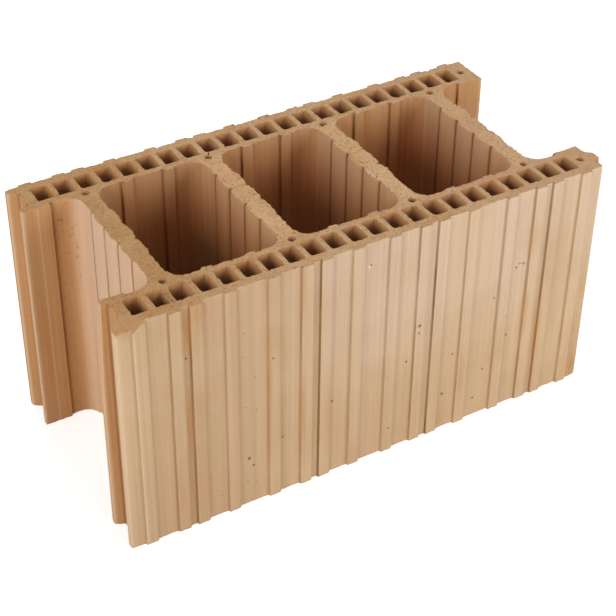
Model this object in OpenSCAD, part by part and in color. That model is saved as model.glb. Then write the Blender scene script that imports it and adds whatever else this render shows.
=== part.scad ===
// Hollow fired clay block: one extruded section with three filling cells,
// two open half cells, two rows of square holes and tongue and groove ends.
// It stands on its bed face, z up. x runs along the length, y across it.

/* [Block] */
// Length between the two end faces, tongues not counted
block_length = 498; // [373:1:623]
// Width over the key ribs of both long faces
block_width = 240; // [200:1:300]
// Height from the bed face to the top face
block_height = 249; // [113:1:300]
// Radius of the four upright outer corners
corner_radius = 2; // [1:0.5:4]

/* [Shells] */
// Thickness of each long shell, its key ribs not counted
shell = 39; // [33:0.5:46]
// Wall between the long face and the square holes
outer_wall = 9.5; // [8:0.25:12]
// Wall between the square holes and the cells
inner_wall = 7.5; // [6:0.25:9]

/* [Cells and webs] */
// Number of webs
webs = 4; // [3:1:5]
// Thickness of a web at the bottom of its grooves
web_core = 18; // [14:0.5:22]
// Length of the open half cell at each end, from the web's grooves to the end face
half_cell = 53.25; // [46:0.25:60]
// Radius in the upright corners of the cells
cell_radius = 15; // [10:0.5:18]

/* [Web bulges] */
// Spacing of the grooves between the bulges of a web face
bulge_pitch = 28; // [24:0.5:32]
// How far a bulge stands out of the web face
bulge_rise = 2; // [1:0.25:3]
// Shift of the groove pattern from the middle of the web
bulge_shift = 4.5; // [0:0.5:6]

/* [Square holes] */
// Spacing of the square holes along a shell
hole_pitch = 21; // [19:0.1:25]
// Width of a square hole along the shell
hole_width = 15.2; // [12:0.2:16]
// Corner radius of a square hole
hole_radius = 2; // [1:0.25:4]

/* [Round holes] */
// Diameter of the round holes
round_diameter = 7; // [5:0.5:8]
// How far the round holes at the webs lie inside the line of the cells' long walls
junction_inset = 1; // [0:0.25:3]
// Distance of the round holes at the tongue end from that end face
end_hole_inset = 12; // [10:0.5:14]
// Least wall between the last square hole and the round hole at the tongue end
end_hole_wall = 4; // [2:0.25:5]

/* [Key ribs on the long faces] */
// How far a rib stands out of the long face
rib_rise = 2.5; // [1.5:0.25:3]
// Width of a rib at its crest
rib_crest = 11.6; // [10:0.2:12]
// Width of the slope on each side of a rib
rib_slope = 0.7; // [0.3:0.1:1]
// Distance of the first rib from the middle of the block
rib_first = 18.8; // [16:0.1:21]
// Distance of the second rib from the middle of the block
rib_second = 50.9; // [45:0.1:54]
// Distance of the third rib from the middle of the block
rib_third = 70.2; // [67:0.1:80]
// Distance of the fourth rib from the middle of the block
rib_fourth = 103; // [96:0.1:110]
// Distance after which the four ribs come again
rib_period = 126; // [112:0.5:140]

/* [Ribs in the cells] */
// How far a rib stands out of the cell's long wall
inner_rib_rise = 2.2; // [1:0.2:3]
// Width of a rib in a cell
inner_rib_width = 11; // [8:0.5:14]
// Distance of a rib from the middle of its cell
inner_rib_offset = 21; // [16:0.5:26]
// Length of the thickened lip at each end of a shell
lip_length = 28; // [22:0.5:34]
// How far the lip stands into the half cell
lip_rise = 2.5; // [1:0.25:3]

/* [Tongue and groove] */
// How far a tongue stands out of the end face
tongue_rise = 8.5; // [6:0.5:10]
// Width of a tongue at its tip
tongue_tip = 6; // [4:0.5:8]
// Width of the tongue's steep inner flank
tongue_inner_flank = 6.5; // [4:0.5:8]
// Width of the tongue's shallow outer flank
tongue_outer_flank = 8; // [6:0.5:11]
// Play between a tongue and the groove of the next block, square to the end
joint_play = 0.4; // [0.2:0.1:1]
// Play between a tongue and the groove of the next block, along the end
side_play = 3; // [2:0.25:4]
// Width of the groove's steep inner flank
groove_flank = 4; // [3:0.25:5]

/* [Hidden] */
$fn = 64;
clay = [0.78, 0.66, 0.50];
cut_past = 1;
base_y = block_width / 2 - rib_rise;
end_x = block_length / 2;
cell_y = base_y - shell;
outer_web_x = end_x - half_cell - web_core / 2;
web_pitch = 2 * outer_web_x / (webs - 1);
cell_length = web_pitch - web_core;
hole_depth = shell - outer_wall - inner_wall;
row_offset = base_y - outer_wall - hole_depth / 2;
last_hole_edge = end_x - end_hole_inset - round_diameter / 2 - end_hole_wall;
holes_in_half_row = floor((last_hole_edge + (hole_pitch - hole_width) / 2) / hole_pitch);
bulges_each_way = ceil(cell_y / bulge_pitch);
bulge_reach = cell_y - cell_radius;
bulge_radius = (bulge_pitch * bulge_pitch / 4 + bulge_rise * bulge_rise) / (2 * bulge_rise);
rib_places = [rib_first, rib_second, rib_third, rib_fourth];
rib_foot = rib_crest / 2 + rib_slope;
rib_reach = end_x - corner_radius - rib_foot;
groove_depth = tongue_rise + joint_play;
tongue_in = base_y - shell / 2 - tongue_tip / 2;
tongue_out = base_y - shell / 2 + tongue_tip / 2;

// A rectangle round the origin with rounded corners
module rounded(length, depth, radius) {
    square([length - 2 * radius, depth], center = true);
    square([length, depth - 2 * radius], center = true);
    for (sx = [-1, 1], sy = [-1, 1])
        translate([sx * (length / 2 - radius), sy * (depth / 2 - radius)])
            circle(r = radius);
}

// One key rib on a long face, its foot on the x axis, reaching to +y
module rib() {
    polygon([[-rib_foot, -cut_past], [rib_foot, -cut_past], [rib_foot, 0],
             [rib_crest / 2, rib_rise], [-rib_crest / 2, rib_rise], [-rib_foot, 0]]);
}

// The ribs of the long face on the +y side, as far as the face is flat
module rib_row() {
    for (side = [-1, 1], place = rib_places)
        for (turn = [0 : floor((rib_reach - place) / rib_period)])
            translate([side * (place + turn * rib_period), base_y])
                rib();
}

// A tongue of the +y shell
module tongue() {
    polygon([[end_x - cut_past, tongue_in - tongue_inner_flank],
             [end_x, tongue_in - tongue_inner_flank],
             [end_x + tongue_rise, tongue_in],
             [end_x + tongue_rise, tongue_out],
             [end_x, tongue_out + tongue_outer_flank],
             [end_x - cut_past, tongue_out + tongue_outer_flank]]);
}

// The groove of the +y shell, which takes the next block's tongue
module groove() {
    floor_in = tongue_in - tongue_inner_flank - side_play;
    mouth_in = floor_in - groove_flank;
    mouth_out = tongue_out + tongue_outer_flank + side_play / 2;
    polygon([[-end_x - cut_past, mouth_in],
             [-end_x, mouth_in],
             [-end_x + groove_depth, floor_in],
             [-end_x + groove_depth, tongue_out + side_play],
             [-end_x, mouth_out],
             [-end_x - cut_past, mouth_out]]);
}

// The bulges of a web face that looks to +x, its grooves on the y axis.
// The face stays flat next to the corner rounds, where a whole bulge finds no room.
module bulges() {
    for (turn = [-bulges_each_way : bulges_each_way]) {
        middle = bulge_shift + turn * bulge_pitch;
        if (abs(middle) + bulge_pitch / 2 <= bulge_reach)
            translate([bulge_rise - bulge_radius, middle])
                circle(r = bulge_radius, $fn = 180);
    }
}

// A filling cell closed all round
module cell() {
    difference() {
        rounded(cell_length, 2 * cell_y, cell_radius);
        translate([-cell_length / 2, 0]) bulges();
        translate([cell_length / 2, 0]) mirror([1, 0]) bulges();
        for (sx = [-1, 1], sy = [-1, 1])
            translate([sx * inner_rib_offset, sy * cell_y])
                square([inner_rib_width, 2 * inner_rib_rise], center = true);
    }
}

// The open half cell at the +x end
module half_cell() {
    half_cell_x = end_x - half_cell;
    reach = 2 * (half_cell + tongue_rise + cut_past);
    difference() {
        translate([half_cell_x + reach / 2, 0])
            rounded(reach, 2 * cell_y, cell_radius);
        translate([half_cell_x, 0]) bulges();
        for (sy = [-1, 1])
            translate([end_x - lip_length / 2 + tongue_rise, sy * cell_y])
                square([lip_length + 2 * tongue_rise, 2 * lip_rise], center = true);
    }
}

// The row of square holes of one shell
module hole_row() {
    for (side = [-1, 1], turn = [0 : holes_in_half_row - 1])
        translate([side * (turn + 0.5) * hole_pitch, 0])
            rounded(hole_width, hole_depth, hole_radius);
}

// The section of the block, its middle between the end faces
module section() {
    difference() {
        union() {
            rounded(block_length, 2 * base_y, corner_radius);
            for (side = [0, 1]) mirror([0, side]) {
                rib_row();
                tongue();
            }
        }
        for (turn = [0 : webs - 2])
            translate([(turn + 0.5) * web_pitch - outer_web_x, 0]) cell();
        half_cell();
        mirror([1, 0]) half_cell();
        for (side = [-1, 1]) {
            translate([0, side * row_offset]) hole_row();
            for (turn = [0 : webs - 1])
                translate([turn * web_pitch - outer_web_x, side * (cell_y - junction_inset)])
                    circle(d = round_diameter);
            translate([end_x - end_hole_inset, side * row_offset])
                circle(d = round_diameter);
        }
        for (side = [0, 1]) mirror([0, side]) groove();
    }
}

module brick() {
    color(clay)
        translate([-tongue_rise / 2, 0, 0])
            linear_extrude(height = block_height)
                section();
}

brick();
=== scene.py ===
"""A hollow fired clay block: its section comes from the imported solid,
and its worn and wire-cut skin is made here."""
import math
import random

import bpy
import numpy as np
from mathutils import Matrix, Vector, noise
from mathutils.geometry import delaunay_2d_cdt


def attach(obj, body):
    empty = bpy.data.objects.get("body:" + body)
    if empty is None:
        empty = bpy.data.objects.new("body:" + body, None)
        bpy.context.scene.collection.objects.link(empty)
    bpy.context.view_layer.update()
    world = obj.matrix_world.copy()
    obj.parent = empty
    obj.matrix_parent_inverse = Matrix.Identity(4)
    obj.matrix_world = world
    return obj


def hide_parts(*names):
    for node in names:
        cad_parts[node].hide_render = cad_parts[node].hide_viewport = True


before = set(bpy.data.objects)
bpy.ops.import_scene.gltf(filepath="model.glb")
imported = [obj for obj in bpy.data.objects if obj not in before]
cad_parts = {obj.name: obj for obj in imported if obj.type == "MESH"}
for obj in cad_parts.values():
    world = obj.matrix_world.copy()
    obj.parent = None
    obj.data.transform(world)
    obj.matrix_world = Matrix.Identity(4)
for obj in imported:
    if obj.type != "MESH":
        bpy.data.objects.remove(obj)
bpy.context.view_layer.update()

MM = 1000.0
SEED = 7

# Sizes of the solid that the skin needs, in millimetres, x from the middle between the end faces
HEIGHT = 249.0
SHIFT_X = -4.25
END_X = 249.0
FACE_Y = 117.5
ROW_Y = 97.0
CELL_Y = 78.5
OUTER_WEB_X = 190.0
END_FACE_Y = 103.5
LIP_START_X = 221.0
LIP_HIGHLIGHT_X = -234.0
CELL_PITCH = 124.5
CELL_RIB_FEET = (-26.5, 15.5)

# Where the looks change along the section, in millimetres from its middle
RIB_SIDE_Y = FACE_Y - 0.6
PALE_FACE_Y = FACE_Y - 1.5
INNER_Y = FACE_Y - 2.0
STAIN_Y = -FACE_Y + 3.0
WALL_OUT_Y = CELL_Y + 1.0
LIP_Y = CELL_Y - 4.0
WALL_IN_Y = CELL_Y - 6.0
PALE_WEB_Y = CELL_Y - 8.0
WEB_Y = CELL_Y - 12.0
PALE_END_X = END_X - 3.0
RIB_END_X = END_X - 6.0
SHIELDED_X = END_X - 12.0
RUBBED_AND_LIT_X = END_X - 20.0
ROSY_END_X = END_X - 30.0
SPECKLE_X = 200.0

# Key ribs of the long faces: places, which two are a pair, repeat, half width and how dark their feet are, in
# painted shade and dirt
RIB_PLACES = (18.8, 50.9, 70.2, 103.0)
RIB_PAIR = (1, 2)
RIB_PERIOD = 126.0
RIB_HALF = 6.5
RIB_DARK = {"right of pair": 1.0, "left of pair": 0.7, "single": 0.5, "right foot": 0.12}

# How finely the skin is meshed, in millimetres
WALL_STEP = 1.9
HOLE_STEP = 3.6
CAP_STEP = 2.4
BED_STEP = 5.0
SMALL_LOOP = 120.0
TOP_BAND = 0.01
KEY_DIGITS = 3

# Rounds of the upright edges in millimetres, their most as a part of a side, and the room for a valley
EDGE_RADIUS = 0.5
LEAST_ROUND = 0.2
ROUND_SHARE = 0.4
VALLEY_STEP = 0.9
VALLEY_ROOM = 3.0

# Turns that count as a corner, as a line of the masks and as a sharp edge
CORNER_TURN = math.radians(20)
MASK_TURN = math.radians(12)
SHARP_TURN = math.radians(42)

NOISE_SHIFT = (11.3, 5.7, 2.9)


def smooth(value, low, high):
    """Smooth step from 0 at low to 1 at high."""
    t = min(1.0, max(0.0, (value - low) / (high - low)))
    return t * t * (3.0 - 2.0 * t)


def fine_noise(x, y, z, scale):
    """Smooth noise between about -1 and 1 with features of the given size in millimetres."""
    shift_x, shift_y, shift_z = NOISE_SHIFT
    return noise.noise(Vector((x / scale + shift_x, y / scale + shift_y, z / scale + shift_z)))


# The section and its outlines
def section_loops(node):
    """Outlines of the solid's top face in millimetres, each with the clay on its left."""
    mesh = node.data
    mesh.calc_loop_triangles()
    points = np.array([v.co[:] for v in mesh.vertices]) * MM
    top = points[:, 2].max()
    edges = set()
    for tri in mesh.loop_triangles:
        corners = [points[i] for i in tri.vertices]
        if min(c[2] for c in corners) < top - TOP_BAND:
            continue
        keys = [(round(c[0] - SHIFT_X, KEY_DIGITS), round(c[1], KEY_DIGITS)) for c in corners]
        (ax, ay), (bx, by), (cx, cy) = keys
        if (bx - ax) * (cy - ay) - (by - ay) * (cx - ax) < 0:
            keys.reverse()
        edges.update(zip(keys, keys[1:] + keys[:1]))
    follow = {a: b for a, b in edges if (b, a) not in edges}
    loops = []
    while follow:
        start = min(follow)
        loop, here = [start], follow.pop(start)
        while here != start:
            loop.append(here)
            here = follow.pop(here)
        loops.append(np.array(loop))
    return loops


def loop_steps(loop):
    """Length of each segment of a closed loop."""
    return np.linalg.norm(np.roll(loop, -1, axis=0) - loop, axis=1)


def soften(loop, radius):
    """Rounds the sharp corners of a loop a little, as worn clay edges are, and adds points beside valleys."""
    out = []
    count = len(loop)
    for i in range(count):
        before, here, after = loop[i - 1], loop[i], loop[(i + 1) % count]
        into, away = here - before, after - here
        length_in, length_out = np.linalg.norm(into), np.linalg.norm(away)
        into, away = into / length_in, away / length_out
        turn = math.atan2(into[0] * away[1] - into[1] * away[0], float(into @ away))
        if abs(turn) < CORNER_TURN:
            out.append(here)
            continue
        reach = min(radius * math.tan(abs(turn) / 2), ROUND_SHARE * length_in, ROUND_SHARE * length_out)
        first, last = here - into * reach, here + away * reach
        room = VALLEY_ROOM * (reach + VALLEY_STEP)
        if turn < 0 and length_in > room:
            out.append(first - into * VALLEY_STEP)
        out += [first, last] if reach > LEAST_ROUND else [here]
        if turn < 0 and length_out > room:
            out.append(last + away * VALLEY_STEP)
    return np.array(out)


def refine(loop, step):
    """Splits the long segments of a loop."""
    out = []
    for a, b in zip(loop, np.roll(loop, -1, axis=0)):
        parts = max(1, math.ceil(np.linalg.norm(b - a) / step))
        out += [a + (b - a) * k / parts for k in range(parts)]
    return np.array(out)


def outward(loop):
    """Unit normals that point out of the clay, and the turn of the loop at each point, valleys negative."""
    ahead = np.roll(loop, -1, axis=0) - loop
    ahead /= np.linalg.norm(ahead, axis=1)[:, None]
    behind = np.roll(ahead, 1, axis=0)
    mean = ahead + behind
    mean /= np.linalg.norm(mean, axis=1)[:, None]
    cross = behind[:, 0] * ahead[:, 1] - behind[:, 1] * ahead[:, 0]
    turn = np.arctan2(cross, (behind * ahead).sum(axis=1))
    return np.stack([mean[:, 1], -mean[:, 0]], axis=1), turn


# Masks that steer the colours: their strengths from 0 to 1, and the slopes of the surface that they look at;
# rib sides and valleys take painted shade and dirt
RIB_SIDE_SLOPE = (0.3, 0.75)
VALLEYS = {"web": 1.0, "half cell": 0.7, "rib foot": 0.8, "other": 0.1}
FOOT_REACH = 3.0
EDGE_RUBBED_AND_LIT = 0.9
PALE = {"face": 1.0, "web": 0.3, "other": 0.08}
PALE_WEB_SLOPE = 0.8
ROSY = 0.9
ROSY_SLOPE = (0.25, 1.0)

# Painted highlights as pale upright lines of the groove end: strength and half width in millimetres
CORNER_HIGHLIGHT = (0.8, 4.5)
LIP_HIGHLIGHT = (0.5, 1.0)

# Dark spots of a half cell's long wall: all over, more near the top, and how deep that reaches
SPECKLE_ALL = 0.25
SPECKLE_TOP = 0.75
SPECKLE_DEPTH = 65.0

# Depths under the top over which the painted warm shade of a cell's walls comes and goes
PAINTED_WARMTH_COMES = (5.0, 45.0)
PAINTED_WARMTH_GOES = (60.0, 110.0)


def rib_lines():
    """Dark lines of a long face as seen from outside it: place along x and strength."""
    lines = []
    for side in (-1, 1):
        for number, place in enumerate(RIB_PLACES):
            for again in (0, 1):
                centre = side * (place + again * RIB_PERIOD)
                kind = "single"
                if number in RIB_PAIR:
                    outer = number == max(RIB_PAIR)
                    kind = "right of pair" if outer == (side > 0) else "left of pair"
                lines.append((centre - RIB_HALF, RIB_DARK[kind]))
                lines.append((centre + RIB_HALF, RIB_DARK["right foot"]))
    return lines


RIB_LINES = rib_lines()


def rib_darkness(x, y):
    """How dark the painted shade and dirt of the rib side nearest to a place of a long face is."""
    along = x if y < 0 else -x
    return min(RIB_LINES, key=lambda line: abs(line[0] - along))[1]


def rib_dirt(x, y, nx):
    """How much brown the steep sides of the key ribs show at a place of the section: painted shade of the
    sides turned from the lamps, with some dirt.
    """
    if abs(y) < RIB_SIDE_Y or abs(x) > RIB_END_X:
        return 0.0
    return rib_darkness(x, y) * smooth(abs(nx), *RIB_SIDE_SLOPE)


def valley_strength(x, y):
    """How dark a valley inside the block is painted at a place of the section: painted shade in the crease,
    with some dirt.
    """
    if abs(y) > INNER_Y:
        return 0.0
    if abs(y) < WEB_Y:
        return VALLEYS["web"]
    if abs(x) > OUTER_WEB_X:
        return VALLEYS["half cell"]
    along = x if y > 0 else -x
    across = (along + CELL_PITCH / 2) % CELL_PITCH - CELL_PITCH / 2
    beside = min(abs(across - foot) for foot in CELL_RIB_FEET) < FOOT_REACH
    return VALLEYS["rib foot" if beside else "other"]


def edge_wear_and_highlight(x, _y):
    """How pale an outer edge is at a place of the section, rubbed and with a painted highlight: only near the
    two ends.
    """
    return EDGE_RUBBED_AND_LIT if abs(x) > RUBBED_AND_LIT_X else 0.0


def upright_line(x, middle, line):
    """Strength of a soft upright line at a place along x."""
    strength, half = line
    return strength * math.exp(-((x - middle) / half) ** 2)


def painted_highlight_line(x, y):
    """Painted highlights as pale lines of the groove end: down the front shell's outer corner and along the
    middle of the lips.
    """
    if y < -END_FACE_Y:
        return upright_line(x, -END_X, CORNER_HIGHLIGHT)
    if LIP_Y < abs(y) < CELL_Y:
        return upright_line(x, LIP_HIGHLIGHT_X, LIP_HIGHLIGHT)
    return 0.0


def spread(loop, chosen, strength, reach):
    """Mask round the chosen points of a loop, from 0 to 1, fading over a reach in millimetres."""
    steps = loop_steps(loop)
    place = np.concatenate([[0], np.cumsum(steps)[:-1]])
    total = steps.sum()
    out = np.zeros(len(loop))
    for i in np.nonzero(chosen)[0]:
        apart = np.abs(place - place[i])
        apart = np.minimum(apart, total - apart)
        out = np.maximum(out, strength(*loop[i]) * np.exp(-(apart / reach) ** 2))
    return out


def paleness(x, y, nx):
    """How pale the clay's surface dried: the long faces and the front shell's ends most, then the webs."""
    if abs(y) > PALE_FACE_Y or (y < -END_FACE_Y and abs(x) > PALE_END_X):
        return PALE["face"]
    web = abs(nx) > PALE_WEB_SLOPE and abs(y) < PALE_WEB_Y
    return PALE["web" if web else "other"]


def rosiness(x, y, nx):
    """How much of the pale pink of the outer webs a place of the section shows."""
    if abs(y) > WALL_OUT_Y or not OUTER_WEB_X < abs(x) < ROSY_END_X:
        return 0.0
    return ROSY * smooth(abs(nx), *ROSY_SLOPE)


def speckle(x, y, z):
    """How many dark torn spots the long wall of an open half cell shows."""
    if not WALL_IN_Y <= abs(y) <= WALL_OUT_Y or not SPECKLE_X < abs(x) < LIP_START_X:
        return 0.0
    return SPECKLE_ALL + SPECKLE_TOP * math.exp(-((HEIGHT - z) / SPECKLE_DEPTH) ** 2)


def painted_cell_warmth(z):
    """How strongly a cell's walls are painted redder and darker at a height, as painted warm shade of light
    bounced inside the cell: most a quarter of the way down.
    """
    depth = HEIGHT - z
    return smooth(depth, *PAINTED_WARMTH_COMES) * (1.0 - smooth(depth, *PAINTED_WARMTH_GOES))


# Orange stains of the front face: x, depth under the top, half width, half height, strength
STAINS = [
    (-186.0, 24.0, 3.5, 26.0, 2.0), (-186.0, 125.0, 3.5, 45.0, 1.2), (-175.0, 10.0, 8.0, 14.0, 0.7),
    (204.0, 60.0, 10.0, 90.0, 0.3),
    (-108.5, 100.0, 2.5, 45.0, 0.7), (-108.5, 170.0, 2.5, 40.0, 0.5),
    (-174.0, 115.0, 6.0, 22.0, 0.45), (-190.0, 205.0, 14.0, 50.0, 0.5), (-171.0, 195.0, 4.0, 35.0, 0.4),
    (-242.0, 6.0, 10.0, 9.0, 0.6), (-75.0, 20.0, 2.5, 30.0, 0.6), (-74.5, 160.0, 2.5, 45.0, 0.8),
    (-60.0, 110.0, 3.0, 90.0, 0.35), (-104.0, 70.0, 7.0, 22.0, 0.3), (-48.0, 175.0, 8.0, 40.0, 0.3),
    (-20.0, 238.0, 10.0, 10.0, 0.5), (84.0, 235.0, 10.0, 12.0, 0.5), (101.0, 190.0, 3.0, 30.0, 0.5),
    (148.0, 168.0, 10.0, 14.0, 0.45), (173.0, 60.0, 4.0, 30.0, 0.5), (172.0, 140.0, 3.0, 30.0, 0.9),
    (190.0, 180.0, 5.0, 60.0, 0.8), (193.0, 90.0, 5.0, 40.0, 0.45), (238.0, 205.0, 6.0, 40.0, 0.55),
    (243.0, 236.0, 10.0, 16.0, 1.0), (244.0, 135.0, 5.0, 20.0, 0.5), (210.0, 165.0, 6.0, 20.0, 0.35),
]


def stain(x, y, z):
    """How much orange stain shows at a place of the front face."""
    if y > STAIN_Y:
        return 0.0
    total = 0.0
    for middle, depth, half_x, half_z, strength in STAINS:
        across = ((x - middle) / half_x) ** 2
        down = ((HEIGHT - z - depth) / half_z) ** 2
        total = max(total, strength * math.exp(-across - down))
    return total


# Small holes of the front face, painted dark as painted shade inside them: x, depth under the top, radius
PIN_HOLES = [
    (-129.0, 194.0, 1.7), (-124.5, 204.0, 1.2), (-105.0, 86.0, 0.9), (-42.5, 163.0, 1.1), (158.0, 84.0, 1.1),
    (166.0, 82.0, 1.1), (161.5, 80.5, 0.8), (49.0, 109.5, 1.6), (38.0, 149.0, 1.1), (91.0, 161.0, 0.9),
    (154.0, 162.0, 1.0), (82.5, 206.5, 1.4), (120.0, 227.0, 1.1), (129.0, 194.0, 1.0), (20.0, 221.0, 0.9),
    (-94.0, 183.5, 0.8), (135.0, 111.0, 0.8), (-187.5, 55.0, 0.9), (-5.2, 23.6, 0.8), (49.0, 118.0, 0.9),
    (-132.0, 50.0, 0.3), (-133.0, 76.0, 0.3), (-122.0, 102.0, 0.3), (-132.0, 133.0, 0.4),
    (-120.5, 140.0, 0.3), (-130.8, 222.0, 0.4), (-121.7, 226.0, 0.3), (-158.0, 226.0, 0.3),
]
WHITE_FLECK = (-7.0, 25.4, 1.2)


# Damage that the photograph shows
FAR = math.inf
CHIP_WAVES = ((0.9, 9.0), (0.5, 3.2))


class Chip:
    """A broken edge: inside its limits, what lies beyond all of its planes is lost. A plane is
    three points by x, y and depth under the top. The limits are ranges of x and y, and a depth."""

    def __init__(self, planes, limits, rough=1.0, fresh=1.0):
        self.faces = [self.face(plane) for plane in planes]
        self.limits, self.rough, self.fresh = limits, rough, fresh

    @staticmethod
    def face(plane):
        """A point of a plane and its normal, which points away from the block's middle."""
        a, b, c = (Vector((x, y, HEIGHT - depth)) for x, y, depth in plane)
        normal = (b - a).cross(c - a).normalized()
        if normal.dot(a - Vector((0.0, 0.0, HEIGHT / 2))) < 0:
            normal.negate()
        return a, normal

    def apply(self, p):
        """Moves a point back onto the nearest broken face and says how freshly broken it is there."""
        (low_x, high_x), (low_y, high_y), depth = self.limits
        if not (low_x < p.x < high_x and low_y < p.y < high_y and p.z > HEIGHT - depth):
            return 0.0
        rough = self.rough * sum(rise * fine_noise(p.x, p.y, p.z, size) for rise, size in CHIP_WAVES)
        past = [((p - a).dot(normal) + rough, normal) for a, normal in self.faces]
        beyond, normal = min(past, key=lambda item: item[0])
        if beyond <= 0:
            return 0.0
        p -= normal * beyond
        return beyond * self.fresh


CHIPS = [
    # Front shell, groove end, outer corner of the top
    Chip([((-END_X, -102.0, 0.0), (-END_X, -119.0, 11.0), (-225.0, -119.0, 10.0)),
          ((-222.0, -119.0, 0.0), (-235.0, -119.0, 10.0), (-226.0, -104.0, 0.0))],
         ((-FAR, -200.0), (-FAR, -95.0), 25.0)),
    # Front shell, crumbled rim beside the groove end
    Chip([((-240.0, -114.5, 0.0), (-240.0, -120.0, 4.0), (-165.0, -120.0, 3.0)),
          ((-158.0, -119.0, 0.0), (-170.0, -119.0, 5.0), (-162.0, -110.0, 0.0))],
         ((-FAR, -150.0), (-FAR, -108.0), 15.0), rough=1.6),
    # Front shell, groove end, end of the inner lip rubbed back towards the top
    Chip([((-END_X + 4.0, -70.0, 0.0), (-END_X + 4.0, -86.0, 0.0), (-END_X, -75.0, 100.0))],
         ((-FAR, -240.0), (-88.0, -60.0), 110.0), rough=0.4, fresh=0.0),
    # Front shell, groove end, tip of the inner lip
    Chip([((-END_X + 6.0, -70.0, 0.0), (-END_X, -90.0, 5.0), (-END_X + 5.0, -90.0, 0.0))],
         ((-FAR, -240.0), (-86.0, -60.0), 15.0)),
    # Back shell, tongue end, top of the tongue
    Chip([((END_X - 1.0, 80.0, 0.0), (END_X + 9.0, 80.0, 18.0), (END_X - 1.0, 120.0, 0.0))],
         ((240.0, FAR), (60.0, FAR), 30.0)),
    # Front shell, tongue end, tip of the tongue
    Chip([((END_X + 6.5, -110.0, 0.0), (END_X + 6.5, -80.0, 0.0), (END_X + 9.5, -95.0, 7.0))],
         ((250.0, FAR), (-FAR, -60.0), 15.0)),
]

# Crumbled wall between two front holes: its middle, half sizes, depth, how square it is, and its roughness
BROKEN_WALL_X = -189.0
BROKEN_WALL_HALF = 3.6
BROKEN_WALL_LONG = 11.5
BROKEN_WALL_DEEP = 6.0
BROKEN_WALL_POWERS = (4, 6)
BROKEN_WALL_ROUGH = (0.35, 5.0)
BROKEN_WALL_FRESH = 0.5

# Crack in the top: its ends, half width, depth, parts, points across it, and the room round it squared
CRACK = ((-57.9, 85.3), (-61.0, 80.5))
CRACK_HALF = 0.55
CRACK_DEEP = 4.0
CRACK_PARTS = 8
CRACK_ACROSS = (-1, 0, 1)
CRACK_CLEAR = 1.2

# Small holes that the cutting wire tore: how many, the squares they are sorted by, and their ranges
PIT_COUNT = 1300
PIT_SQUARE = 10
PIT_X = (-250, 256)
PIT_Y = (-119, 119)
PIT_RADIUS = (0.9, 2.4)
PIT_DEPTH = (0.4, 1.3)

# Waves of the wire-cut top: rise, shift of the noise and size, round a mean depth
CUT_WAVES = ((0.25, 0.0, 17.0), (0.3, 3.0, 6.0), (0.3, 7.0, 2.6))
CUT_MEAN = 0.4

# Torn rims: their reach, the size of the teeth, the small teeth between them, and how far all lie back
RIM_FADE = 1.8
TOOTH_SIZE = 3.4
SMALL_TOOTH = (0.6, 50.0, 1.7)
TEETH_BACK = 0.7

# Unevenness of the drawn walls: rise, stretch along z and size
DRAG_WAVES = ((0.06, 30.0, 7.0), (0.2, 4.0, 70.0))

# How far down a wall follows the cut top, how far up the bed, the bed's unevenness, and a full loss
TOP_REACH = 30.0
BED_REACH = 12.0
BED_LIFT = 0.2
BED_WAVE = (0.3, 40.0, 6.0)
FRESH_LOSS = 0.8


def broken_wall(x, y):
    """How far the wall between two front holes has crumbled away."""
    power_across, power_along = BROKEN_WALL_POWERS
    across = max(0.0, 1.0 - (abs(x - BROKEN_WALL_X) / BROKEN_WALL_HALF) ** power_across)
    along = max(0.0, 1.0 - (abs(y + ROW_Y) / BROKEN_WALL_LONG) ** power_along)
    rough, size = BROKEN_WALL_ROUGH
    return BROKEN_WALL_DEEP * across * along * (1.0 + rough * fine_noise(x, y, 0.0, size))


def square_of(x, y):
    """The square that a place of the top lies in."""
    return int(x // PIT_SQUARE), int(y // PIT_SQUARE)


def scatter_pits():
    """Places of the torn holes of the top, by squares."""
    rng = random.Random(SEED + 1)
    squares = {}
    for _ in range(PIT_COUNT):
        x, y = rng.uniform(*PIT_X), rng.uniform(*PIT_Y)
        pit = (x, y, rng.uniform(*PIT_RADIUS), rng.uniform(*PIT_DEPTH))
        squares.setdefault(square_of(x, y), []).append(pit)
    return squares


TORN = scatter_pits()


def torn_depth(x, y):
    """Depth of the torn holes at a point of the top."""
    deep = 0.0
    column, line = square_of(x, y)
    for i in (-1, 0, 1):
        for j in (-1, 0, 1):
            for px, py, radius, depth in TORN.get((column + i, line + j), ()):
                near = ((x - px) ** 2 + (y - py) ** 2) / radius ** 2
                if near < 1:
                    deep = max(deep, depth * (1 - near))
    return deep


def cut_depth(x, y):
    """How far the wire-cut top lies under the nominal height."""
    rough = sum(rise * fine_noise(x, y, shift, size) for rise, shift, size in CUT_WAVES)
    return max(0.0, CUT_MEAN + rough) + torn_depth(x, y) + broken_wall(x, y)


def finish_point(x, y, z, nx, ny, ragged):
    """Place of a skin point after wear and damage, and how much of it is freshly broken."""
    fade = math.exp(-(HEIGHT - z) / RIM_FADE) + math.exp(-z / RIM_FADE)
    part, shift, size = SMALL_TOOTH
    teeth = fine_noise(x, y, z, TOOTH_SIZE) + part * fine_noise(x, y, z + shift, size) - TEETH_BACK
    drag = sum(rise * fine_noise(x, y, z / stretch, size) for rise, stretch, size in DRAG_WAVES)
    out = fade * ragged * teeth + (drag if ragged else 0.0)
    x += nx * out
    y += ny * out
    lowered = max(0.0, 1.0 - (HEIGHT - z) / TOP_REACH)
    raised = max(0.0, 1.0 - z / BED_REACH)
    rise, shift, size = BED_WAVE
    lift = max(0.0, BED_LIFT + rise * fine_noise(x, y, shift, size))
    z += raised * lift - lowered * cut_depth(x, y)
    point = Vector((x, y, z))
    gone = 0.0
    for chip in CHIPS:
        gone = max(gone, chip.apply(point))
    gone = max(gone, lowered * broken_wall(x, y) * BROKEN_WALL_FRESH)
    return point, min(1.0, gone / FRESH_LOSS)


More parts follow.
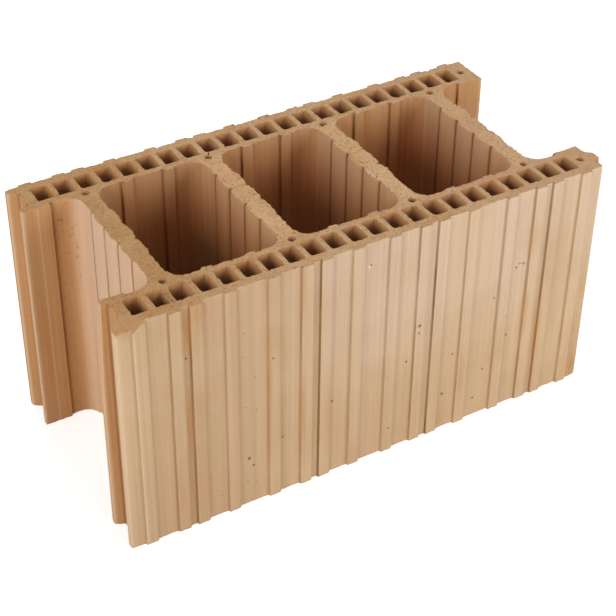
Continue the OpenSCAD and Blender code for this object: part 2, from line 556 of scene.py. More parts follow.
# The skin as a mesh
# Rows of a wall in millimetres: down from the top, up from the bed, and the largest gap between them
FINE_DOWN = (0.0, 0.7, 1.6, 2.8, 4.4, 6.6, 9.5, 14.0, 20.0)
FINE_UP = (0.0, 1.2, 3.0, 7.0, 14.0)
WALL_ROWS = {
    "outside": (FINE_DOWN, FINE_UP, 20.0),
    "cell": (FINE_DOWN, FINE_UP, 45.0),
    "hole": ((0.0, 1.2, 3.0, 6.5, 12.0, 20.0), (0.0, 2.0, 8.0), 80.0),
}

# Scattered points of a cut face: rows, shake and room to the outline in steps, parts of the search
ROW_APART = 0.87
SHAKE_SHARE = 0.25
CLEAR_SHARE = 0.6
SEARCH_PARTS = 40

# Triangulation: all of the hull is kept, and points this close are one
WHOLE_HULL = 0
SAME_POINT = 1e-6

# Texture map: its scale per millimetre, the gap between its strips, and where the cut faces lie in it
MAP_SCALE = 0.00064
MAP_GAP = 0.002
CAP_SHIFT = (252, 122)
BED_MAP_U = 0.5

# Numbers of the two materials, and how broken a face has to be to take the second
SKIN, CUT = 0, 1
BROKEN_FACE = 0.4

# How ragged the rims are, and how steep a web's surface is
RAGGED_OUTER = 0.5
RAGGED_INNER = 0.85
RAGGED_WEB = 1.4
RAGGED_HOLE = 0.6
WEB_SLOPE = 0.5

# Shade in the holes by depth, shade of the cells' long walls by -x, and half widths of the lines
HOLE_SHADE = (1.0, 20.0)
CELL_SHADE = 0.4
CELL_SHADE_SPAN = (-150.0, 150.0)
INNER_LINE = 1.7
OUTER_LINE = 1.1
EDGE_WEAR_AND_HIGHLIGHT_REACH = 1.8


def wall_levels(kind):
    """Heights of the rows of a wall from the top down, closer together near the cut faces."""
    down, up, gap = WALL_ROWS[kind]
    high, low = HEIGHT - down[-1], up[-1]
    between = math.ceil((high - low) / gap)
    middle = [high + (low - high) * k / between for k in range(1, between)]
    return [HEIGHT - v for v in down] + middle + list(reversed(up))


def inside(points, loops):
    """True for each point that lies in the clay, by counting crossings."""
    odd = np.zeros(len(points), bool)
    for loop in loops:
        for (ax, ay), (bx, by) in zip(loop, np.roll(loop, -1, axis=0)):
            if ay == by:
                continue
            crosses = (points[:, 1] > min(ay, by)) & (points[:, 1] <= max(ay, by))
            at = ax + (points[:, 1] - ay) * (bx - ax) / (by - ay)
            odd ^= crosses & (points[:, 0] < at)
    return odd


def cap_points(loops, step):
    """Scattered points in the clay of the section, clear of its outline."""
    rng = random.Random(SEED)
    low = np.min([loop.min(axis=0) for loop in loops], axis=0)
    high = np.max([loop.max(axis=0) for loop in loops], axis=0)
    grid = []
    for row, y in enumerate(np.arange(low[1] + step / 2, high[1], step * ROW_APART)):
        for x in np.arange(low[0] + step / 2 * (1 + row % 2), high[0], step):
            shake_x = rng.uniform(-SHAKE_SHARE, SHAKE_SHARE) * step
            shake_y = rng.uniform(-SHAKE_SHARE, SHAKE_SHARE) * step
            grid.append((x + shake_x, y + shake_y))
    grid = np.array(grid)
    grid = grid[inside(grid, loops)]
    rim = np.concatenate(loops)
    clear = []
    for part in np.array_split(grid, SEARCH_PARTS):
        apart = np.sqrt(((part[:, None, :] - rim[None, :, :]) ** 2).sum(axis=2)).min(axis=1)
        clear.append(apart > CLEAR_SHARE * step)
    return [tuple(p) for p in grid[np.concatenate(clear)]]


def crack_points():
    """Points along the crack: one edge, its bottom and the other edge, over and over."""
    (ax, ay), (bx, by) = CRACK
    along = Vector((bx - ax, by - ay)).normalized()
    out = []
    for k in range(CRACK_PARTS + 1):
        x, y = ax + (bx - ax) * k / CRACK_PARTS, ay + (by - ay) * k / CRACK_PARTS
        for side in CRACK_ACROSS:
            out.append((x - along.y * side * CRACK_HALF, y + along.x * side * CRACK_HALF))
    return out


class Builder:
    """Collects the points and faces of the block's skin."""

    MASKS = ("pale", "rosy", "dirt", "edge", "stain", "speckle", "deep", "warm", "fresh")

    def __init__(self):
        self.points, self.faces, self.materials, self.uvs = [], [], [], []
        self.masks = {name: [] for name in self.MASKS}

    def add_point(self, place, **masks):
        """Adds a point in millimetres with its colour masks and returns its number."""
        self.points.append(tuple(place))
        for name in self.MASKS:
            self.masks[name].append(masks.get(name, 0.0))
        return len(self.points) - 1

    def add_face(self, corners, material, uv):
        """Adds a face by its points' numbers, as broken clay where all its points are broken."""
        if min(self.masks["fresh"][i] for i in corners) > BROKEN_FACE:
            material = CUT
        self.faces.append(corners)
        self.materials.append(material)
        self.uvs.append(uv)


class Atlas:
    """Lays wall strips side by side in the texture map."""

    def __init__(self, scale, gap):
        self.scale, self.gap = scale, gap
        self.u, self.v = gap, gap
        self.strip = HEIGHT * scale

    def place(self, length):
        """Left edge of a stretch of wall of a length in millimetres, on a new strip where it doesn't fit."""
        if self.u + length * self.scale > 1 - self.gap:
            self.u = self.gap
            self.v += self.strip + self.gap
        left = self.u
        self.u += length * self.scale
        return left


def wall_kind(loop):
    """What an outline bounds: a small hole, a closed cell or the outside with the half cells."""
    if loop_steps(loop).sum() < SMALL_LOOP:
        return "hole"
    return "cell" if np.abs(loop[:, 0]).max() < OUTER_WEB_X else "outside"


def wall_lines(kind, shaped, normals, turn):
    """Masks of the brown lines of painted shade and dirt and of the pale lines of rubbed wear and painted
    highlights of a wall, none in a small hole.
    """
    if kind == "hole":
        return np.zeros(len(shaped)), np.zeros(len(shaped))
    sides = [rib_dirt(x, y, nx) for (x, y), (nx, _) in zip(shaped, normals)]
    reach = INNER_LINE if kind == "cell" else OUTER_LINE
    dirt = np.maximum(spread(shaped, turn < -MASK_TURN, valley_strength, reach), sides)
    edge = spread(shaped, turn > MASK_TURN, edge_wear_and_highlight, EDGE_WEAR_AND_HIGHLIGHT_REACH)
    return dirt, np.maximum(edge, [painted_highlight_line(x, y) for x, y in shaped])


def raggedness(kind, x, y, nx):
    """How far the rims of a wall are torn at a place of the section."""
    if kind == "hole":
        return RAGGED_HOLE
    if abs(nx) > WEB_SLOPE and abs(y) < WEB_Y:
        return RAGGED_WEB
    shielded = abs(y) < INNER_Y and abs(x) < SHIELDED_X
    return RAGGED_INNER if shielded else RAGGED_OUTER


def wall_row(build, kind, z, shaped, normals, lines):
    """Adds the points of one row of a wall and returns their numbers."""
    hole = smooth(HEIGHT - z, *HOLE_SHADE) if kind == "hole" else 0.0
    warm = painted_cell_warmth(z) if kind == "cell" else 0.0
    row = []
    for (x, y), (nx, ny), dirt, edge in zip(shaped, normals, *lines):
        deep = hole
        if kind == "cell":
            deep = CELL_SHADE * abs(ny) * smooth(-x, *CELL_SHADE_SPAN)
        place, fresh = finish_point(x, y, z, nx, ny, raggedness(kind, x, y, nx))
        row.append(build.add_point(
            place, pale=paleness(x, y, nx), rosy=rosiness(x, y, nx), dirt=dirt, edge=edge,
            stain=stain(x, y, z), speckle=speckle(x, y, z), deep=deep, warm=warm, fresh=fresh))
    return row


def build_wall(build, atlas, loop):
    """Adds the wall of an outline and returns its shaped outline and the numbers of its two rims."""
    kind = wall_kind(loop)
    shaped = refine(loop, HOLE_STEP) if kind == "hole" else refine(soften(loop, EDGE_RADIUS), WALL_STEP)
    normals, turn = outward(shaped)
    lines = wall_lines(kind, shaped, normals, turn)
    levels = wall_levels(kind)
    rows = [wall_row(build, kind, z, shaped, normals, lines) for z in levels]
    atlas.u += atlas.gap
    count = len(shaped)
    for j, length in enumerate(loop_steps(shaped)):
        k = (j + 1) % count
        left = atlas.place(length)
        right = left + length * atlas.scale
        for r in range(len(levels) - 1):
            high, low = atlas.v + levels[r] * atlas.scale, atlas.v + levels[r + 1] * atlas.scale
            corners = (rows[r][j], rows[r + 1][j], rows[r + 1][k], rows[r][k])
            build.add_face(corners, SKIN, ((left, high), (left, low), (right, low), (right, high)))
    return shaped, rows[0], rows[-1]


def edges_of(verts, origin, edges):
    """The rim edges by the numbers that the triangulation gave their points."""
    made = {source: i for i in range(len(verts)) for source in origin[i]}
    return [(made[a], made[b]) for a, b in edges]


def cap_spot(place, corner, scale):
    """Place in the texture map of a point of a cut face."""
    return tuple(c + (v + shift) * scale for v, c, shift in zip(place, corner, CAP_SHIFT))


def build_cap(build, outlines, rims, extra, z, corner, scale):
    """Adds one cut face between the rims of the walls, with extra points in it."""
    flat = [Vector(p) for loop in outlines for p in loop]
    rim = [i for row in rims for i in row]
    edges, start = [], 0
    for loop in outlines:
        count = len(loop)
        edges += [(start + j, start + (j + 1) % count) for j in range(count)]
        start += count
    inner, crack = extra
    flat += [Vector(p) for p in inner + crack]
    verts, _, tris, origin, _, _ = delaunay_2d_cdt(flat, edges, [], WHOLE_HULL, SAME_POINT)
    number = {}
    for i, (x, y) in enumerate(verts):
        source = min(origin[i])
        if source < len(rim):
            number[i] = rim[source]
            continue
        step = source - len(rim) - len(inner)
        bottom = step >= 0 and CRACK_ACROSS[step % len(CRACK_ACROSS)] == 0
        place, fresh = finish_point(x, y, z, 0.0, 0.0, 0.0)
        place.z -= CRACK_DEEP if bottom else 0.0
        # The crack's bottom is marked for painted shade
        number[i] = build.add_point(place, dirt=1.0 if bottom else 0.0, fresh=fresh)
    along = {(number[i], number[j]) for i, j in edges_of(verts, origin, edges)}
    middles = np.array([np.mean([verts[i][:] for i in t], axis=0) for t in tris])
    for t, clay in zip(tris, inside(middles, outlines)):
        sides = [(number[i], number[j]) for i, j in zip(t, t[1:] + t[:1])]
        if any(side in along for side in sides):
            clay = True
        elif any((j, i) in along for i, j in sides):
            clay = False
        if not clay:
            continue
        order = t if z > 0 else tuple(reversed(t))
        spots = [cap_spot(verts[i], corner, scale) for i in order]
        build.add_face(tuple(number[i] for i in order), CUT, spots)


def build_block(node):
    """Makes the block's skin from the section of its solid."""
    build = Builder()
    atlas = Atlas(MAP_SCALE, MAP_GAP)
    outlines, tops, lows = [], [], []
    for loop in section_loops(node):
        shaped, top, low = build_wall(build, atlas, loop)
        outlines.append(shaped)
        tops.append(top)
        lows.append(low)
    crack = crack_points()
    inner = [p for p in cap_points(outlines, CAP_STEP)
             if all((p[0] - c[0]) ** 2 + (p[1] - c[1]) ** 2 > CRACK_CLEAR for c in crack)]
    cap_v = atlas.v + atlas.strip + atlas.gap
    build_cap(build, outlines, tops, (inner, crack), HEIGHT, (atlas.gap, cap_v), atlas.scale)
    bed = cap_points(outlines, BED_STEP)
    build_cap(build, outlines, lows, (bed, []), 0.0, (BED_MAP_U, cap_v), atlas.scale)
    return build


def new_object(name, data):
    """A new object in the scene."""
    obj = bpy.data.objects.new(name, data)
    bpy.context.scene.collection.objects.link(obj)
    return obj


def mesh_object(build, name):
    """Turns the collected skin into an object in metres."""
    mesh = bpy.data.meshes.new(name)
    points = (np.array(build.points) + np.array([SHIFT_X, 0.0, 0.0])) / MM
    mesh.from_pydata(points.tolist(), [], build.faces)
    mesh.polygons.foreach_set("material_index", build.materials)
    for key, values in build.masks.items():
        mesh.attributes.new(key, "FLOAT", "POINT").data.foreach_set("value", values)
    layer = mesh.uv_layers.new(name="OFBake")
    layer.data.foreach_set("uv", [c for face in build.uvs for spot in face for c in spot])
    mesh.shade_smooth()
    mesh.set_sharp_from_angle(angle=SHARP_TURN)
    mesh.update()
    return new_object(name, mesh)


# Materials
# Noises: scale per metre along each axis, detail, roughness and shift
SKIN_NOISES = {
    "broad": ((42, 42, 1.4), 2.0, 0.5, 1.0),
    "streak": ((130, 130, 2.2), 3.0, 0.55, 3.0),
    "lines": ((480, 480, 4.0), 2.0, 0.6, 5.0),
    "cloud": ((9, 9, 9), 3.0, 0.55, 9.0),
    "grain": ((900, 900, 700), 2.0, 0.6, 13.0),
    "stain": ((160, 160, 14), 3.0, 0.6, 17.0),
    "worn": ((60, 60, 12), 3.0, 0.6, 31.0),
    "torn": ((210, 210, 170), 3.0, 0.65, 37.0),
    "shake": ((500, 500, 500), 1.0, 0.5, 41.0),
}
CUT_NOISES = {
    "cloud": ((24, 24, 24), 3.0, 0.55, 2.0),
    "crumb": ((300, 300, 300), 3.0, 0.6, 4.0),
    "sand": ((760, 760, 760), 2.0, 0.6, 6.0),
    "pits": ((430, 430, 430), 2.0, 0.55, 8.0),
}

# Ramps: the range of the value, and the range that it leads to where that isn't 0 to 1, lengths in metres
SKIN_RAMPS = {
    "streak": (0.35, 0.65),
    "body cloud": (0.45, 0.7, 0.0, 0.5),
    "tan broad": (0.5, 0.68, 0.0, 0.7),
    "bloom broad": (0.35, 0.65),
    "bloom streak": (0.48, 0.68, 0.0, 0.6),
    "bloom low": (0.17, 0.04, 0.0, 0.7),
    # Painted light on the long faces: paler towards the top and the right
    "painted light height": (0.05, 0.23, 0.55, 1.0),
    "painted light x": (-0.17, 0.09),
    "bloom cloud": (0.3, 0.7, -0.35, 0.35),
    "rosy broad": (0.4, 0.6),
    "lines": (0.3, 0.7, 0.95, 1.04),
    "grain": (0.3, 0.7, -0.035, 0.035),
    "stain": (0.3, 0.62, 0.45, 1.0),
    "worn": (0.3, 0.65, 0.6, 1.0),
    "pale": (0.4, 0.8),
    "torn": (0.56, 0.66),
    "front": (-0.113, -0.116),
    "speck radius": (0.8, 1.0, -0.02, 0.055),
    "speck rim": (0.0, 0.012),
}
CUT_RAMPS = {
    "cloud": (0.35, 0.65),
    "pale crumb": (0.52, 0.66, 0.0, 0.6),
    "dark crumb": (0.46, 0.34, 0.0, 0.6),
    "pale sand": (0.54, 0.66, 0.0, 0.6),
    "dark sand": (0.44, 0.34, 0.0, 0.6),
    "left": (-0.06, -0.22),
    "web": (0.088, 0.06, 0.25, 0.7),
    "right of left web": (-0.17, -0.1, 0.4, 1.0),
    "web light": (0.3, 0.65, 1.0, 1.13),
    "pits": (0.4, 0.33),
    "right": (0.08, 0.2, 0.0, 0.55),
}

# Colours, linear
SKIN_COLOURS = {
    "body dark": (0.49, 0.235, 0.09),
    "body light": (0.54, 0.275, 0.115),
    "body cloud": (0.53, 0.29, 0.13),
    "tan dark": (0.56, 0.365, 0.205),
    "tan light": (0.595, 0.405, 0.235),
    "tan broad": (0.585, 0.38, 0.245),
    # Pale bloom colours, which also carry the painted light towards the top right of the long faces
    "bloom warm": (0.67, 0.492, 0.325),
    "bloom cool": (0.67, 0.49, 0.355),
    "bloom streak": (0.67, 0.478, 0.29),
    "bloom low": (0.685, 0.475, 0.27),
    "rosy warm": (0.68, 0.45, 0.29),
    "rosy cool": (0.66, 0.46, 0.32),
    # Pale of the rubbed edges and of the painted highlights
    "edge": (0.72, 0.52, 0.34),
    "deep": (0.38, 0.20, 0.095),
    # Multiplier of the painted warm shade inside the cells
    "warm": (1.0, 0.82, 0.70),
    "stain": (0.50, 0.25, 0.095),
    # Browns of the valleys and the rib sides: painted shade with some dirt
    "rib foot": (0.26, 0.135, 0.05),
    "stained foot": (0.43, 0.195, 0.065),
    "valley": (0.19, 0.075, 0.022),
    "torn": (0.30, 0.15, 0.06),
    # Painted shade inside the pin holes, also the colour of the dark specks
    "hole": (0.19, 0.095, 0.04),
    "fleck": (0.76, 0.74, 0.70),
}
CUT_COLOURS = {
    "dark": (0.55, 0.315, 0.145),
    "light": (0.61, 0.385, 0.205),
    "pale crumb": (0.66, 0.42, 0.235),
    "dark crumb": (0.38, 0.19, 0.075),
    "pale sand": (0.69, 0.47, 0.28),
    "dark sand": (0.34, 0.17, 0.07),
    "left": (0.89, 0.82, 0.69),
    "pits": (0.29, 0.15, 0.065),
    "right": (0.60, 0.37, 0.21),
    "fresh": (0.56, 0.32, 0.16),
    # Painted shade at the bottom of the crack
    "crack": (0.12, 0.055, 0.025),
}

# How strongly the parts of the looks show
EDGE_WEAR_AND_HIGHLIGHT_SHARE = 0.75
STAIN_SHARE = 0.8
TORN_SHARE = 0.8
SPECK_SHARE = 0.6
HOLE_SHARE = 0.8
FRESH_SHARE = 0.5
LINE_RELIEF = 0.35
GRAIN_RELIEF = 0.3
HOLE_RELIEF = 2.0
SAND_RELIEF = 0.6

# Spots: soft rim in millimetres, full core as a part of the radius, and the shake of outlines in metres
SPOT_RIM = 0.5
SPOT_CORE = 0.6
SPOT_SHAKE = 0.0012
SPECKS_PER_METRE = 48.0

# Relief in metres and roughness of the two surfaces, and the gloss of both
SKIN_SURFACE = (0.0003, 0.92)
CUT_SURFACE = (0.0012, 0.95)
SPECULAR = 0.2


class Nodes:
    """Short helpers to wire a material or the world."""

    def __init__(self, owner):
        self.owner = owner
        owner.use_nodes = True
        self.tree = owner.node_tree
        self.tree.nodes.clear()

    def node(self, kind, **settings):
        """A new node with its plain settings."""
        made = self.tree.nodes.new(kind)
        for key, value in settings.items():
            setattr(made, key, value)
        return made

    def link(self, source, target):
        """Joins an output to an input."""
        self.tree.links.new(source, target)

    def math(self, how, a, b=None, clamp=False):
        """Arithmetic on values or sockets."""
        made = self.node("ShaderNodeMath", operation=how, use_clamp=clamp)
        for slot, value in zip(made.inputs, (a, b)):
            if isinstance(value, float):
                slot.default_value = value
            elif value is not None:
                self.link(value, slot)
        return made.outputs["Value"]

    def vector(self, how, *values):
        """Arithmetic on vectors, given as numbers or sockets."""
        made = self.node("ShaderNodeVectorMath", operation=how)
        for slot, value in zip(made.inputs, values):
            if isinstance(value, tuple):
                slot.default_value = value
            else:
                self.link(value, slot)
        return made.outputs["Value" if how == "DISTANCE" else "Vector"]


class ClayNodes(Nodes):
    """Helpers for clay, with tables of its noises, ramps and colours."""

    def __init__(self, name, noises, ramps, colours):
        super().__init__(bpy.data.materials.new(name))
        self.noises, self.ramps, self.colours = noises, ramps, colours
        self.coords = self.node("ShaderNodeTexCoord").outputs["Object"]
        axes = self.node("ShaderNodeSeparateXYZ")
        self.link(self.coords, axes.inputs["Vector"])
        self.axes = axes.outputs

    def noise(self, name, output="Fac"):
        """Noise of the table, about 0 to 1."""
        scale, detail, rough, shift = self.noises[name]
        mapping = self.node("ShaderNodeMapping")
        mapping.inputs["Scale"].default_value = scale
        self.link(self.coords, mapping.inputs["Vector"])
        made = self.node("ShaderNodeTexNoise", noise_dimensions="4D")
        made.inputs["Scale"].default_value = 1.0
        made.inputs["Detail"].default_value = detail
        made.inputs["Roughness"].default_value = rough
        made.inputs["W"].default_value = shift
        self.link(mapping.outputs["Vector"], made.inputs["Vector"])
        return made.outputs[output]

    def span(self, value, low, high, start=0.0, stop=1.0):
        """Maps a value from low..high to start..stop, smoothly and held at the ends."""
        made = self.node("ShaderNodeMapRange", interpolation_type="SMOOTHSTEP")
        for key, number in (("From Min", low), ("From Max", high), ("To Min", start), ("To Max", stop)):
            made.inputs[key].default_value = number
        self.link(value, made.inputs["Value"])
        return made.outputs["Result"]

    def ramp(self, value, name):
        """Maps a value by a ramp of the table."""
        return self.span(value, *self.ramps[name])

    def mix(self, factor, a, b, blend="MIX"):
        """Mixes two colours, each a socket or a name in the table."""
        made = self.node("ShaderNodeMix", data_type="RGBA", blend_type=blend)
        slots = {i.identifier: i for i in made.inputs}
        for key, value in (("Factor_Float", factor), ("A_Color", a), ("B_Color", b)):
            if isinstance(value, float):
                slots[key].default_value = value
            elif isinstance(value, str):
                slots[key].default_value = (*self.colours[value], 1.0)
            else:
                self.link(value, slots[key])
        return [o for o in made.outputs if o.identifier == "Result_Color"][0]

    def shade(self, colour, value):
        """Multiplies a colour by a value."""
        grey = self.node("ShaderNodeCombineColor")
        for slot in ("Red", "Green", "Blue"):
            self.link(value, grey.inputs[slot])
        return self.mix(1.0, colour, grey.outputs["Color"], "MULTIPLY")

    def mask(self, name):
        """A mask that the mesh carries."""
        return self.node("ShaderNodeAttribute", attribute_name=name).outputs["Fac"]

    def spots(self, places, where, front):
        """Mask of round spots on the front face, each given by x, depth and radius in millimetres."""
        flat = self.vector("MULTIPLY", where, (1.0, 0.0, 1.0))
        total = None
        for x, depth, radius in places:
            away = self.vector("DISTANCE", flat, ((x + SHIFT_X) / MM, 0.0, (HEIGHT - depth) / MM))
            spot = self.span(away, (radius + SPOT_RIM) / MM, SPOT_CORE * radius / MM)
            total = spot if total is None else self.math("MAXIMUM", total, spot)
        return self.math("MULTIPLY", total, front)

    def specks(self, where):
        """Mask of a few scattered specks all round."""
        cells = self.node("ShaderNodeTexVoronoi")
        cells.inputs["Scale"].default_value = SPECKS_PER_METRE
        self.link(where, cells.inputs["Vector"])
        gate = self.node("ShaderNodeSeparateColor")
        self.link(cells.outputs["Color"], gate.inputs["Color"])
        radius = self.ramp(gate.outputs["Red"], "speck radius")
        return self.ramp(self.math("SUBTRACT", radius, cells.outputs["Distance"]), "speck rim")

    def surface(self, colour, height, values):
        """A dull clay surface with its colour and relief."""
        distance, roughness = values
        bump = self.node("ShaderNodeBump")
        bump.inputs["Strength"].default_value = 1.0
        bump.inputs["Distance"].default_value = distance
        self.link(height, bump.inputs["Height"])
        shader = self.node("ShaderNodeBsdfPrincipled")
        shader.inputs["Roughness"].default_value = roughness
        shader.inputs["Specular IOR Level"].default_value = SPECULAR
        self.link(colour, shader.inputs["Base Color"])
        self.link(bump.outputs["Normal"], shader.inputs["Normal"])
        out = self.node("ShaderNodeOutputMaterial")
        self.link(shader.outputs["BSDF"], out.inputs["Surface"])
        return self.owner


def skin_material():
    """Extruded clay: faint upright streaks, pale bloom and painted light on the long faces, brown valleys of
    painted shade and dirt, stains and holes.
    """
    n = ClayNodes("clay_skin", SKIN_NOISES, SKIN_RAMPS, SKIN_COLOURS)
    broad, streak, lines = n.noise("broad"), n.noise("streak"), n.noise("lines")
    cloud, grain = n.noise("cloud"), n.noise("grain")

    # Orange-brown body
    body = n.mix(n.ramp(streak, "streak"), "body dark", "body light")
    body = n.mix(n.ramp(cloud, "body cloud"), body, "body cloud")

    # Tan long faces with a pale bloom in patches, and paler towards the top right in painted light where the
    # lamps fall strongest
    tan = n.mix(n.ramp(streak, "streak"), "tan dark", "tan light")
    tan = n.mix(n.ramp(broad, "tan broad"), tan, "tan broad")
    bloom = n.mix(n.ramp(broad, "bloom broad"), "bloom warm", "bloom cool")
    bloom = n.mix(n.ramp(streak, "bloom streak"), bloom, "bloom streak")
    bloom = n.mix(n.ramp(n.axes["Z"], "bloom low"), bloom, "bloom low")
    # Painted light: the long faces paler towards the top and the right
    painted_light_upper_right = n.math("MULTIPLY", n.ramp(n.axes["Z"], "painted light height"), n.ramp(n.axes["X"], "painted light x"))
    pale_patch_and_painted_light = n.math("ADD", painted_light_upper_right, n.ramp(cloud, "bloom cloud"), clamp=True)
    colour = n.mix(n.mask("pale"), body, n.mix(pale_patch_and_painted_light, tan, bloom))

    # Pink outer webs, rubbed edges with painted highlights, painted shade in the holes and on the cells' long
    # walls, and painted warm shade that makes the cells' walls redder and darker
    colour = n.mix(n.mask("rosy"), colour, n.mix(n.ramp(broad, "rosy broad"), "rosy warm", "rosy cool"))
    # Rubbed edges with painted highlights
    colour = n.mix(n.math("MULTIPLY", n.mask("edge"), EDGE_WEAR_AND_HIGHLIGHT_SHARE), colour, "edge")
    colour = n.mix(n.mask("deep"), colour, "deep")
    colour = n.mix(n.mask("warm"), colour, "warm", "MULTIPLY")

    # Fine upright lines and grain
    colour = n.shade(colour, n.math("ADD", n.ramp(lines, "lines"), n.ramp(grain, "grain")))

    # Orange stains, brown valleys beside the ribs in painted shade and dirt, and torn spots
    stains = n.math("MULTIPLY", n.mask("stain"), n.ramp(n.noise("stain"), "stain"), clamp=True)
    colour = n.mix(n.math("MULTIPLY", stains, STAIN_SHARE), colour, "stain")
    brown = n.mix(stains, "rib foot", "stained foot")
    brown = n.mix(n.ramp(n.mask("pale"), "pale"), "valley", brown)
    colour = n.mix(n.math("MULTIPLY", n.mask("dirt"), n.ramp(n.noise("worn"), "worn")), colour, brown)
    torn = n.math("MULTIPLY", n.mask("speckle"), TORN_SHARE)
    colour = n.mix(n.math("MULTIPLY", n.ramp(n.noise("torn"), "torn"), torn), colour, "torn")

    # Pin holes painted dark as painted shade inside them, a white fleck, and a few more dark specks all
    # round, with uneven outlines
    shaken = n.vector("MULTIPLY_ADD", n.noise("shake", "Color"), (SPOT_SHAKE,) * 3, n.coords)
    shaken = n.vector("SUBTRACT", shaken, (SPOT_SHAKE / 2,) * 3)
    front = n.ramp(n.axes["Y"], "front")
    holes = n.spots(PIN_HOLES, shaken, front)
    holes = n.math("MAXIMUM", holes, n.math("MULTIPLY", n.specks(shaken), SPECK_SHARE))
    colour = n.mix(n.math("MULTIPLY", holes, HOLE_SHARE), colour, "hole")
    colour = n.mix(n.spots([WHITE_FLECK], shaken, front), colour, "fleck")

    relief = n.math("ADD", n.math("MULTIPLY", lines, LINE_RELIEF), n.math("MULTIPLY", grain, GRAIN_RELIEF))
    relief = n.math("SUBTRACT", relief, n.math("MULTIPLY", holes, HOLE_RELIEF))
    return n.surface(colour, relief, SKIN_SURFACE)


def cut_material():
    """Wire-cut and broken clay: sandy grains, crumbs and torn pits."""
    n = ClayNodes("clay_cut", CUT_NOISES, CUT_RAMPS, CUT_COLOURS)
    crumb, sand = n.noise("crumb"), n.noise("sand")
    colour = n.mix(n.ramp(n.noise("cloud"), "cloud"), "dark", "light")
    for source, names in ((crumb, ("pale crumb", "dark crumb")), (sand, ("pale sand", "dark sand"))):
        for name in names:
            colour = n.mix(n.ramp(source, name), colour, name)
    colour = n.mix(n.ramp(n.axes["X"], "left"), colour, "left", "MULTIPLY")

    # Lighter webs with torn pits
    webs = n.ramp(n.math("ABSOLUTE", n.axes["Y"]), "web")
    webs = n.math("MULTIPLY", webs, n.ramp(n.axes["X"], "right of left web"))
    colour = n.shade(colour, n.ramp(webs, "web light"))
    pits = n.math("MULTIPLY", n.ramp(n.noise("pits"), "pits"), webs)
    colour = n.mix(pits, colour, "pits")
    colour = n.mix(n.ramp(n.axes["X"], "right"), colour, "right")

    # Broken faces, and the crack's bottom painted dark as painted shade
    colour = n.mix(n.math("MULTIPLY", n.mask("fresh"), FRESH_SHARE), colour, "fresh")
    crack = n.math("SUBTRACT", n.mask("dirt"), n.mask("fresh"), clamp=True)
    colour = n.mix(crack, colour, "crack")
    relief = n.math("ADD", crumb, n.math("MULTIPLY", sand, SAND_RELIEF))
    return n.surface(colour, n.math("SUBTRACT", relief, pits), CUT_SURFACE)


block = mesh_object(build_block(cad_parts["brick"]), "block_skin")
block.data.materials.append(skin_material())
block.data.materials.append(cut_material())
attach(block, "root")
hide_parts("brick")

# Floor, light and camera
FLOOR_HALF = 14.0
FLOOR_COLOUR = (0.80, 0.80, 0.80, 1.0)
FLOOR_GLOW = 0.56
WORLD_LIGHT = 0.29
WHITE = (1.0, 1.0, 1.0, 1.0)

# Lamps: name, place, the point that it is aimed at, size and power
LAMPS = [
    ("key", (0.95, -1.6, 0.8), (0.08, 0.0, 0.12), 1.0, 18.0),
    ("fill", (-2.1, -0.85, 1.08), (0.0, 0.0, 0.12), 1.4, 32.0),
    ("back", (0.5, 2.2, 1.9), (0.0, 0.0, 0.2), 1.6, 42.0),
]

CAMERA_PLACE = (-0.63059, -1.04659, 1.01718)
CAMERA_AZIMUTH = math.radians(-30.9559)
CAMERA_ELEVATION = math.radians(36.9406)
CAMERA_ROLL = math.radians(0.7032)
CAMERA_LENS = 91.846
CAMERA_SENSOR = 36.0
CAMERA_CLIP = (0.01, 100.0)


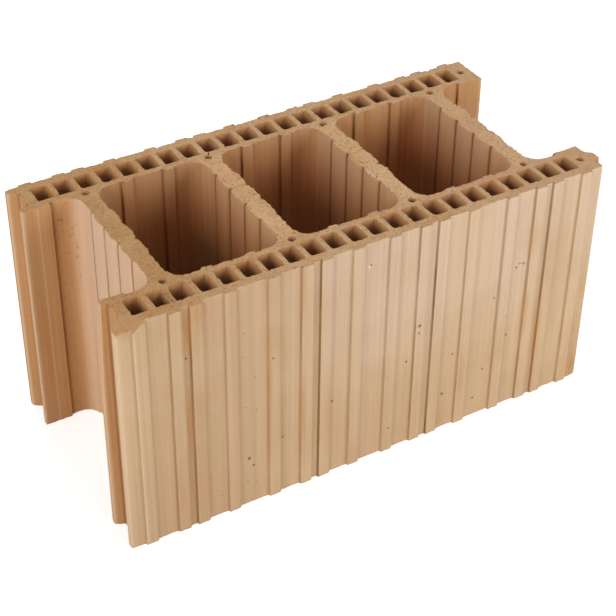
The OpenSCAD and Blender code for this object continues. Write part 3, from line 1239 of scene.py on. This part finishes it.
def make_floor():
    """A plain white floor that keeps the shadow and shows as white to the camera."""
    mesh = bpy.data.meshes.new("floor")
    h = FLOOR_HALF
    mesh.from_pydata([(-h, -h, 0), (h, -h, 0), (h, h, 0), (-h, h, 0)], [], [(0, 1, 2, 3)])
    obj = new_object("floor", mesh)
    n = Nodes(bpy.data.materials.new("floor_white"))
    diffuse = n.node("ShaderNodeBsdfDiffuse")
    diffuse.inputs["Color"].default_value = FLOOR_COLOUR
    glow = n.node("ShaderNodeEmission")
    path = n.node("ShaderNodeLightPath")
    seen = n.math("ADD", path.outputs["Is Camera Ray"], path.outputs["Is Glossy Ray"])
    seen = n.math("ADD", seen, path.outputs["Is Transmission Ray"], clamp=True)
    n.link(n.math("MULTIPLY", seen, FLOOR_GLOW), glow.inputs["Strength"])
    both = n.node("ShaderNodeAddShader")
    n.link(diffuse.outputs["BSDF"], both.inputs[0])
    n.link(glow.outputs["Emission"], both.inputs[1])
    out = n.node("ShaderNodeOutputMaterial")
    n.link(both.outputs["Shader"], out.inputs["Surface"])
    mesh.materials.append(n.owner)


def make_world():
    """Even white light from all round, seen by the camera as white."""
    world = bpy.data.worlds.new("studio")
    bpy.context.scene.world = world
    n = Nodes(world)
    path = n.node("ShaderNodeLightPath")
    level = n.node("ShaderNodeMapRange")
    level.inputs["To Min"].default_value = WORLD_LIGHT
    level.inputs["To Max"].default_value = 1.0
    n.link(path.outputs["Is Camera Ray"], level.inputs["Value"])
    background = n.node("ShaderNodeBackground")
    background.inputs["Color"].default_value = WHITE
    n.link(level.outputs["Result"], background.inputs["Strength"])
    out = n.node("ShaderNodeOutputWorld")
    n.link(background.outputs["Background"], out.inputs["Surface"])


def make_lamp(name, place, target, size, power):
    """A square soft lamp aimed at a point."""
    data = bpy.data.lights.new(name, "AREA")
    data.shape = "SQUARE"
    data.size = size
    data.energy = power
    obj = new_object(name, data)
    obj.location = place
    obj.rotation_euler = (Vector(target) - Vector(place)).to_track_quat("-Z", "Y").to_euler()


def make_camera():
    """The camera at the photograph's viewing angle."""
    data = bpy.data.cameras.new("camera")
    data.sensor_width = CAMERA_SENSOR
    data.lens = CAMERA_LENS
    data.clip_start, data.clip_end = CAMERA_CLIP
    obj = new_object("camera", data)
    back = Vector((math.sin(CAMERA_AZIMUTH) * math.cos(CAMERA_ELEVATION),
                   -math.cos(CAMERA_AZIMUTH) * math.cos(CAMERA_ELEVATION), math.sin(CAMERA_ELEVATION)))
    turn = (-back).to_track_quat("-Z", "Y").to_matrix().to_4x4()
    obj.matrix_world = Matrix.Translation(CAMERA_PLACE) @ turn @ Matrix.Rotation(CAMERA_ROLL, 4, "Z")
    bpy.context.scene.camera = obj


make_floor()
make_world()
for lamp in LAMPS:
    make_lamp(*lamp)
make_camera()
bpy.context.scene.view_settings.view_transform = "Standard"
